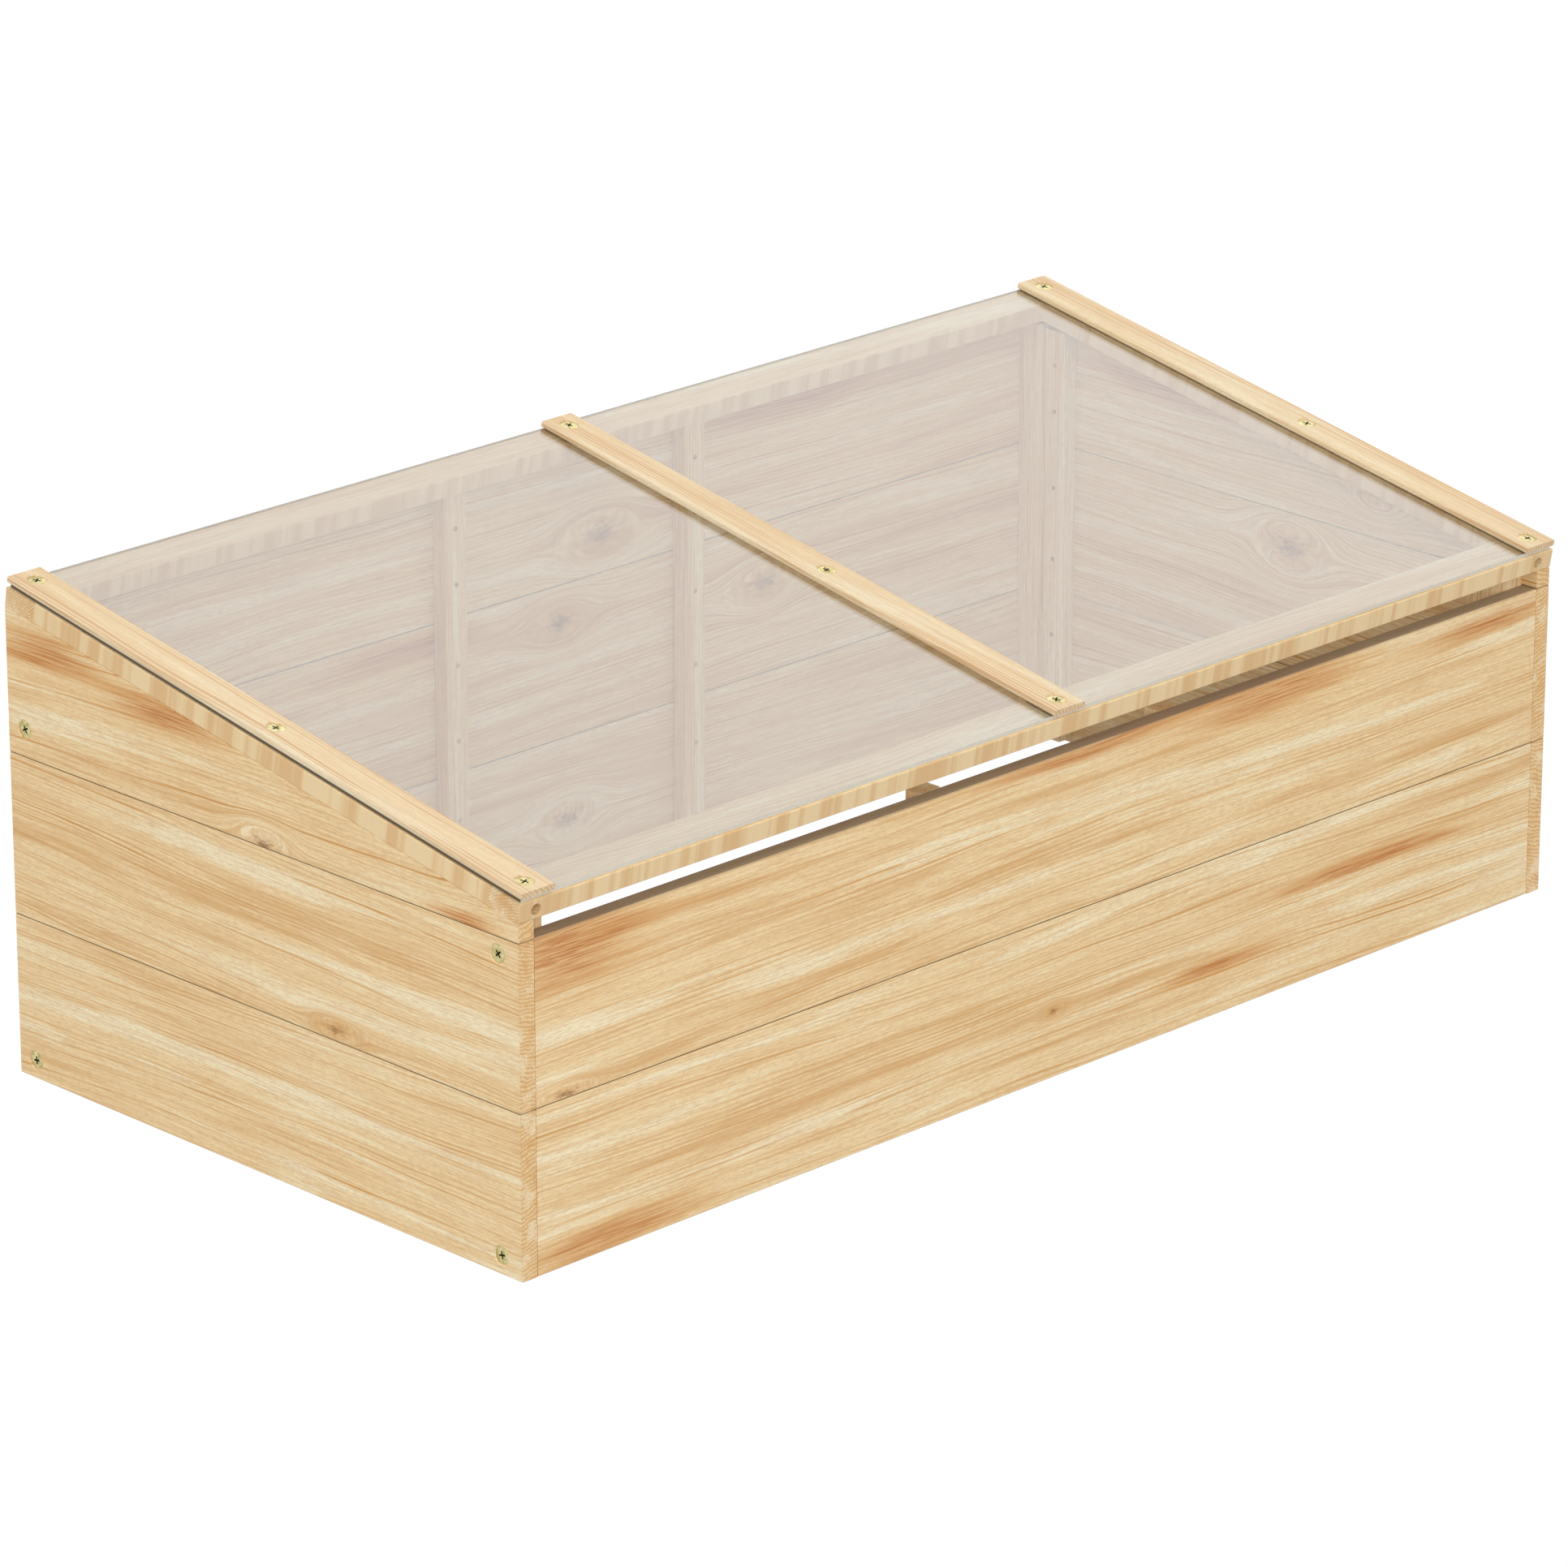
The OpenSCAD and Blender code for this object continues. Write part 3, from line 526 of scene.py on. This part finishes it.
def screw_blank(head_radius, shank_radius, length):
    """A countersunk screw with a cross recess: its head's top at the origin, its point down."""
    look = bpy.context.scene.cold_frame
    deselect()
    neck = head_radius - shank_radius
    bpy.ops.mesh.primitive_cylinder_add(
        vertices=48, radius=shank_radius, depth=length - neck - 2 * shank_radius,
        location=(0, 0, -(length + neck - 2 * shank_radius) / 2))
    screw = bpy.context.active_object
    bpy.ops.object.transform_apply(location=True)
    # the point
    pick_faces(screw, lambda middle, normal: normal.z < -0.9)
    bpy.ops.mesh.extrude_region_move(TRANSFORM_OT_translate={"value": (0, 0, -2 * shank_radius)})
    bpy.ops.transform.resize(value=(0.12, 0.12, 1))
    bpy.ops.object.mode_set(mode="OBJECT")
    # the cone under the head, its rim, and a slightly domed top
    pick_faces(screw, lambda middle, normal: normal.z > 0.9)
    rim = 0.3 * MM
    bpy.ops.mesh.extrude_region_move(TRANSFORM_OT_translate={"value": (0, 0, neck - rim)})
    bpy.ops.transform.resize(value=(head_radius / shank_radius, head_radius / shank_radius, 1))
    bpy.ops.mesh.extrude_region_move(TRANSFORM_OT_translate={"value": (0, 0, rim * 0.6)})
    bpy.ops.mesh.inset(thickness=0.5 * MM, depth=0)
    bpy.ops.transform.translate(value=(0, 0, rim * 0.4))
    bpy.ops.object.mode_set(mode="OBJECT")
    # the cross recess: two tapered bars and a pointed middle
    for turned in (0, 90):
        deselect()
        bpy.ops.mesh.primitive_cube_add(size=1)
        cutter = bpy.context.active_object
        pick_faces(cutter, lambda middle, normal: normal.z < -0.9)
        bpy.ops.transform.resize(value=(0.45, 0.62, 1), center_override=(0, 0, 0))
        bpy.ops.object.mode_set(mode="OBJECT")
        cutter.scale = (look.cross_length, look.cross_width, 2 * look.cross_depth)
        cutter.rotation_euler = (0, 0, math.radians(turned))
        bpy.ops.object.transform_apply(rotation=True, scale=True)
        apply_modifier(screw, "Recess", "BOOLEAN", object=cutter, operation="DIFFERENCE", solver="EXACT")
        bpy.data.objects.remove(cutter)
    deselect()
    bpy.ops.mesh.primitive_cone_add(vertices=24, radius1=0.3 * MM, radius2=look.cross_width,
                                    depth=2 * look.cross_depth)
    cutter = bpy.context.active_object
    only(cutter)
    bpy.ops.object.mode_set(mode="EDIT")
    bpy.ops.mesh.select_all(action="SELECT")
    bpy.ops.mesh.normals_make_consistent(inside=False)
    bpy.ops.object.mode_set(mode="OBJECT")
    apply_modifier(screw, "Middle", "BOOLEAN", object=cutter, operation="DIFFERENCE", solver="EXACT")
    bpy.data.objects.remove(cutter)
    apply_modifier(screw, "Soft edges", "BEVEL", width=0.12 * MM, segments=2, limit_method="ANGLE",
                   angle_limit=math.radians(50))
    only(screw)
    bpy.ops.object.shade_smooth_by_angle(angle=math.radians(32))
    return screw


def driven_screws(node, body, axis, outward, twists):
    """Replaces a CAD group of countersunk screws with finished ones in the same places."""
    corners = [v.co.copy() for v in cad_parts[node].data.vertices]
    points = [one for row in bunches(corners, 1) for one in bunches(row, axis)]
    reach = [p.dot(outward) for p in points[0]]
    top = head_middle(points[0], outward)
    head_radius = max((p - top - outward * (p - top).dot(outward)).length for p in points[0])
    blank = screw_blank(head_radius, SHANK_RADIUS, max(reach) - min(reach))
    plate = zinc_plate("zinc_plate_" + node, "#b1a264", "#dad09f", 0.3)
    painted_recess_shade = recess_shadow("cross_painted_shade_" + node)
    blank.data.materials.append(plate)
    blank.data.materials.append(painted_recess_shade)
    # painted shade: the faces below the rim that are well inside the head's cone, in the cross recess, get
    # the dark material
    rim, wide, wall = 0.25 * MM, 4.4 * MM, 0.9 * MM
    for face in blank.data.polygons:
        middle = face.center
        in_recess = -3 * MM < middle.z < -rim and middle.xy.length < wide
        in_cone = middle.xy.length < head_radius + middle.z - wall
        face.material_index = 1 if in_recess and in_cone else 0
    made = []
    for bunch, twist in zip(points, twists):
        screw = bpy.data.objects.new(node + "_finished", blank.data.copy())
        bpy.context.scene.collection.objects.link(screw)
        spin = Matrix.Rotation(math.radians(twist), 4, "Z")
        screw.data.transform(
            Matrix.Translation(head_middle(bunch, outward))
            @ outward.to_track_quat("Z", "Y").to_matrix().to_4x4() @ spin)
        made.append(screw)
    bpy.data.objects.remove(blank)
    only(made[0])
    for screw in made:
        screw.select_set(True)
    if bpy.ops.object.join() != {"FINISHED"}:
        raise RuntimeError(f"the screws of {node} were not joined")
    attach(made[0], body)
    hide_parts(node)


def rounded_metal(node, body, material):
    """Replaces a CAD node of sheet metal or rod with a copy whose edges are rounded."""
    look = bpy.context.scene.cold_frame
    piece = node_copy(node, node + "_finished")
    apply_modifier(piece, "Soft edges", "BEVEL", width=look.leaf_edge, segments=2,
                   limit_method="ANGLE", angle_limit=math.radians(40))
    only(piece)
    bpy.ops.object.shade_smooth_by_angle(angle=math.radians(32))
    piece.data.materials.clear()
    piece.data.materials.append(material)
    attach(piece, body)
    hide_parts(node)


# ---------------------------------------------------------------- the pieces

class COLDFRAME_OT_walls(bpy.types.Operator):
    """Finishes the boards of the four walls, each with its own rings, flushes and knots"""
    bl_idname = "cold_frame.walls"
    bl_label = "Wall Boards"

    def execute(self, context):
        x, y, z = 0, 1, 2
        boards = {
            "left_board_bottom": dict(along=y, across=z, pith=(-0.16, -0.46), drift=0.02),
            "left_board_middle": dict(along=y, across=z, pith=(0.39, -0.43), drift=-0.03, gap=0.9,
                                      knots=[(-0.075, 0.124, 0.009, 0.0028)]),
            "left_board_top": dict(along=y, across=z, pith=(0.10, -0.45), drift=0.03, gap=1.1,
                                   knots=[(-0.008, 0.2335, 0.010, 0.0045)],
                                   flushes=[(0.095, 0.294, 0.055, 0.009), (0.21, 0.309, 0.045, 0.013),
                                            (-0.20, 0.236, 0.03, 0.006)]),
            "right_board_bottom": dict(along=y, across=z, pith=(-0.12, 0.44), drift=0.02),
            "right_board_middle": dict(along=y, across=z, pith=(0.36, 0.45), drift=-0.02,
                                       knots=[(-0.016, 0.205, 0.014, 0.008)]),
            "right_board_top": dict(along=y, across=z, pith=(0.08, 0.43), drift=0.02, gap=1.1,
                                    knots=[(-0.10, 0.268, 0.010, 0.006)],
                                    flushes=[(0.12, 0.300, 0.06, 0.009)]),
            "front_board_bottom": dict(along=x, across=z, pith=(-0.15, -0.18), drift=0.012, gap=0.95,
                                       knots=[(-0.009, 0.049, 0.005, 0.002)],
                                       flushes=[(-0.42, 0.010, 0.07, 0.010), (0.31, 0.070, 0.09, 0.006),
                                                (0.16, 0.034, 0.05, 0.004)]),
            "front_board_top": dict(along=x, across=z, pith=(0.40, -0.19), drift=-0.014, gap=1.05,
                                    knots=[(-0.46, 0.119, 0.010, 0.0022)],
                                    flushes=[(0.20, 0.226, 0.085, 0.014), (0.44, 0.221, 0.07, 0.010),
                                             (-0.46, 0.218, 0.060, 0.024), (0.02, 0.229, 0.10, 0.007)]),
            "back_board_bottom": dict(along=x, across=z, pith=(-0.18, 0.20), drift=0.012,
                                      knots=[(0.001, 0.054, 0.012, 0.006)]),
            "back_board_middle": dict(along=x, across=z, pith=(0.41, 0.18), drift=-0.012, gap=1.1,
                                      knots=[(-0.005, 0.204, 0.012, 0.006), (0.198, 0.186, 0.012, 0.006)],
                                      flushes=[(-0.15, 0.222, 0.07, 0.009)]),
            "back_board_top": dict(along=x, across=z, pith=(0.12, 0.17), drift=0.01,
                                   knots=[(0.036, 0.261, 0.014, 0.007)],
                                   flushes=[(0.22, 0.322, 0.07, 0.009)]),
        }
        for node, kind in boards.items():
            low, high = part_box(node)
            edges = [] if node.endswith("_bottom") else [low.z]
            edges += [] if node.endswith("_top") else [high.z]
            # painted shade: the front wall's upper edge is coloured grey-brown, standing in for the lid's
            # shadow over it
            grey = z if node == "front_board_top" else None
            finish_nodes(planed_fir("planed_fir_" + node, edges=edges, lid_shade_face=grey, **kind), node)
        return {"FINISHED"}


class COLDFRAME_OT_uprights(bpy.types.Operator):
    """Finishes the corner posts and the wall battens, whose rings run upwards"""
    bl_idname = "cold_frame.uprights"
    bl_label = "Posts and Battens"

    def execute(self, context):
        posts = planed_fir("planed_fir_posts", along=2, across=0, pith=(0.9, -0.7), gap=0.8,
                           rings=0.8)
        battens = planed_fir("planed_fir_battens", along=2, across=0, pith=(-0.8, 0.9), gap=0.7,
                             rings=0.7)
        for node in sorted(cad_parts):
            if node.endswith("_post"):
                finish_nodes(posts, node)
            elif "batten" in node:
                finish_nodes(battens, node)
        return {"FINISHED"}


class COLDFRAME_OT_lid_wood(bpy.types.Operator):
    """Finishes the lid's rails, stiles and top strips"""
    bl_idname = "cold_frame.lid_wood"
    bl_label = "Lid Frame and Strips"

    def execute(self, context):
        rails = planed_fir("planed_fir_rails", along=0, across=1, pith=(-0.6, -0.5), gap=0.7,
                           rings=0.9, bleach=0.1, turn=-LID_PITCH, cross_face=1)
        under = min(v.co.dot(LID_UP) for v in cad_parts["lid_left_stile"].data.vertices)
        stiles = planed_fir("planed_fir_stiles", along=1, across=2, pith=(-0.5, -0.9), gap=0.7,
                            rings=0.9, bleach=0.1, turn=-LID_PITCH, edges=[under], cross_face=0)
        strips = planed_fir("planed_fir_strips", along=1, across=0, pith=(-1.2, -0.4), gap=0.9,
                            rings=2.4, bleach=0.45, turn=-LID_PITCH)
        finish_nodes(rails, "lid_front_rail", "lid_back_rail")
        finish_nodes(stiles, "lid_left_stile", "lid_right_stile")
        finish_nodes(strips, "lid_strip_left", "lid_strip_middle", "lid_strip_right")
        return {"FINISHED"}


class COLDFRAME_OT_sheet(bpy.types.Operator):
    """Makes the clear sheet of the lid, with sawn edges and a film of air above and below it"""
    bl_idname = "cold_frame.sheet"
    bl_label = "Clear Sheet"

    def execute(self, context):
        sheet = node_copy("lid_sheet", "lid_sheet_finished", whole_faces=False)
        # the stored normals bend the long thin triangles between the screw holes
        bpy.ops.mesh.customdata_custom_splitnormals_clear()
        bpy.ops.object.shade_flat()
        for face_up in (1, -1):
            pick_faces(sheet, lambda middle, normal: normal.dot(LID_UP) * face_up > 0.9)
            bpy.ops.transform.translate(value=LID_UP * (-face_up * AIR_FILM))
            bpy.ops.object.mode_set(mode="OBJECT")
        sheet.data.materials.clear()
        sheet.data.materials.append(clear_sheet("clear_plastic_sheet"))
        sheet.data.materials.append(sawn_edge("frosted_sheet_edge"))
        for face in sheet.data.polygons:
            face.material_index = 0 if abs(face.normal.dot(LID_UP)) > 0.5 else 1
        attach(sheet, "lid")
        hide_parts("lid_sheet")
        return {"FINISHED"}


class COLDFRAME_OT_screws(bpy.types.Operator):
    """Makes the countersunk screws of the side walls and of the lid's strips"""
    bl_idname = "cold_frame.screws"
    bl_label = "Countersunk Screws"

    def execute(self, context):
        driven_screws("left_corner_screws", "box", 2, Vector((-1, 0, 0)), [12, 40, 8, 25])
        driven_screws("right_corner_screws", "box", 2, Vector((1, 0, 0)), [30, 5, 18, 42])
        driven_screws("lid_left_strip_screws", "lid", 0, LID_UP, [20, 8, 35])
        driven_screws("lid_middle_strip_screws", "lid", 0, LID_UP, [38, 15, 28])
        driven_screws("lid_right_strip_screws", "lid", 0, LID_UP, [5, 31, 17])
        return {"FINISHED"}


class COLDFRAME_OT_small_steel(bpy.types.Operator):
    """Finishes the rail screws, the nails and the hinge screws"""
    bl_idname = "cold_frame.small_steel"
    bl_label = "Rail Screws, Nails and Hinge Screws"

    def execute(self, context):
        plate = zinc_plate("zinc_plate_small_screws", "#b1a264", "#dad09f", 0.34)
        nails = zinc_plate("browned_nail_steel", "#a08052", "#b99869", 0.55)
        # painted shade: the rail screws sit deep in bored holes and get the dark recess material, standing
        # in for the shade there
        rail_screw_shade = recess_shadow("rail_screws_painted_shade")
        finish_nodes(plate, "hinge_box_screws", "hinge_lid_screws")
        finish_nodes(rail_screw_shade, "lid_front_rail_screws", "lid_back_rail_screws")
        finish_nodes(nails, "front_wall_nails", "back_wall_nails", "left_wall_nails",
                     "right_wall_nails")
        return {"FINISHED"}


class COLDFRAME_OT_hinges(bpy.types.Operator):
    """Makes the leaves and pins of the two butt hinges with rounded edges"""
    bl_idname = "cold_frame.hinges"
    bl_label = "Butt Hinges"

    def execute(self, context):
        steel = zinc_plate("zinc_plated_hinge_steel", "#b8b5a0", "#cfccba", 0.36)
        for side in ("left", "right"):
            rounded_metal(f"hinge_{side}_box_leaf", "box", steel)
            rounded_metal(f"hinge_{side}_lid_leaf", "lid", steel)
            rounded_metal(f"hinge_{side}_pin", "box", steel)
        return {"FINISHED"}


class COLDFRAME_OT_stage(bpy.types.Operator):
    """Makes the pale floor, the soft light and the camera"""
    bl_idname = "cold_frame.stage"
    bl_label = "Stage"

    def execute(self, context):
        scene = context.scene
        scene.view_settings.view_transform = "Standard"

        # a plain white floor, lit like a light table
        deselect()
        bpy.ops.mesh.primitive_plane_add(size=60, location=(0, 0, CAD_LOW.z - 0.2 * MM))
        floor = context.active_object
        floor.name = "floor"
        material, tree, output = start_material("white_floor")
        glow = add(tree, "ShaderNodeEmission", {"Color": (1, 1, 1, 1), "Strength": 1.02})
        tree.links.new(glow.outputs[0], output.inputs[0])
        floor.data.materials.append(material)
        floor.visible_diffuse = False

        # a white tent: bright above the horizon, dimmer below it
        world = bpy.data.worlds.new("white_tent")
        scene.world = world
        world.use_nodes = True
        tree = world.node_tree
        tree.nodes.clear()
        where = add(tree, "ShaderNodeTexCoord")
        axes = add(tree, "ShaderNodeSeparateXYZ", {0: where.outputs["Generated"]})
        level = add(tree, "ShaderNodeMapRange", {0: axes.outputs[2], 1: -0.25, 2: 0.15, 3: 0.34, 4: 1.0},
                    interpolation_type="SMOOTHSTEP")
        sky = add(tree, "ShaderNodeBackground", {"Color": (1, 1, 1, 1), "Strength": level.outputs[0]})
        add(tree, "ShaderNodeOutputWorld", {0: sky.outputs[0]})

        # a large soft panel whose mirror image whitens the sheet
        toward = Vector((0.66, 0.50, 0.56)).normalized()
        deselect()
        bpy.ops.object.light_add(type="AREA", location=toward * 9)
        panel = context.active_object
        panel.data.shape = "DISK"
        radius, radiance = 2.2, 0.85
        panel.data.size = 2 * radius
        panel.data.energy = radiance * math.pi * math.pi * radius ** 2
        panel.rotation_euler = toward.to_track_quat("Z", "Y").to_euler()
        panel.visible_camera = False

        # a soft key from the front left, kept out of the sheet's mirror image
        aside = Vector((-0.65, -0.70, 0.30)).normalized()
        deselect()
        bpy.ops.object.light_add(type="AREA", location=aside * 8)
        key = context.active_object
        key.data.shape = "DISK"
        key.data.size = 3.0
        key.data.energy = 190
        key.rotation_euler = aside.to_track_quat("Z", "Y").to_euler()
        key.visible_camera = False
        key.visible_glossy = False

        camera_data = bpy.data.cameras.new("camera")
        camera_data.sensor_width = 36
        camera_data.lens = 181.71
        camera_data.clip_start, camera_data.clip_end = 0.1, 100
        camera = bpy.data.objects.new("camera", camera_data)
        scene.collection.objects.link(camera)
        camera.location = (-3.6367, -3.6594, 2.0409)
        camera.rotation_euler = Vector((0.6600, 0.6674, -0.3449)).to_track_quat("-Z", "Y").to_euler()
        scene.camera = camera
        return {"FINISHED"}


STEPS = (COLDFRAME_OT_walls, COLDFRAME_OT_uprights, COLDFRAME_OT_lid_wood, COLDFRAME_OT_sheet,
         COLDFRAME_OT_screws, COLDFRAME_OT_small_steel, COLDFRAME_OT_hinges, COLDFRAME_OT_stage)


class COLDFRAME_PT_panel(bpy.types.Panel):
    """Lists the settings and the steps"""
    bl_idname = "COLDFRAME_PT_panel"
    bl_label = "Cold Frame"
    bl_space_type = "VIEW_3D"
    bl_region_type = "UI"
    bl_category = "Cold Frame"

    def draw(self, context):
        look = context.scene.cold_frame
        for name in COLDFRAME_PG_settings.__annotations__:
            self.layout.prop(look, name)
        for step in STEPS:
            self.layout.operator(step.bl_idname)


def register():
    for part in (COLDFRAME_PG_settings, *STEPS, COLDFRAME_PT_panel):
        bpy.utils.register_class(part)
    bpy.types.Scene.cold_frame = PointerProperty(type=COLDFRAME_PG_settings)


def unregister():
    del bpy.types.Scene.cold_frame
    for part in (COLDFRAME_PT_panel, *reversed(STEPS), COLDFRAME_PG_settings):
        bpy.utils.unregister_class(part)


def main():
    register()
    for step in STEPS:
        group, name = step.bl_idname.split(".")
        getattr(getattr(bpy.ops, group), name)()


if __name__ == "__main__":
    main()
